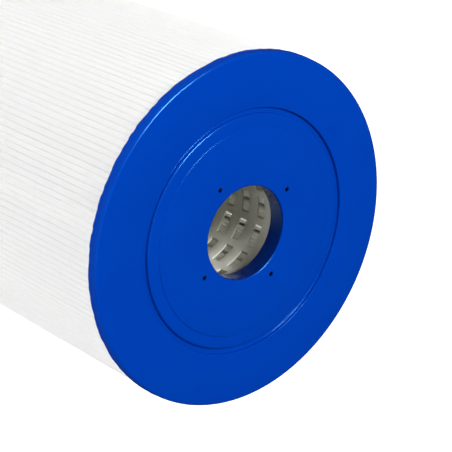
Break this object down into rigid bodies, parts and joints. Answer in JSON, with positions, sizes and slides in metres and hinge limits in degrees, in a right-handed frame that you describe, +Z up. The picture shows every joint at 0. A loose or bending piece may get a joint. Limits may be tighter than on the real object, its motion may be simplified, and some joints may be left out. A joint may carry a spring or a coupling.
{
  "type": "filter cartridge",
  "caption": "Pleated pool filter cartridge: a ring of white pleated cloth around a lattice core, cast into blue resin end caps with an open bore at both ends.",
  "frame": {"origin": "middle of the bottom face, where the cartridge stands", "axes": "+Z runs up the cartridge's axis from the bottom end cap to the top end cap; +X and +Y lie midway between the moulding-pin holes"},
  "size_m": [0.217, 0.217, 0.257],
  "materials": {
    "cap_resin": "satin blue cast polyurethane",
    "core_plastic": "white moulded plastic",
    "media_cloth": "white spunbonded polyester",
    "seam_adhesive": "set hot-melt adhesive"
  },
  "bodies": {
    "root": {"top_end_cap": "cap_resin", "bottom_end_cap": "cap_resin", "core_tube": "core_plastic", "pleated_media": "media_cloth", "seam_bond": "seam_adhesive"}
  },
  "joints": []
}
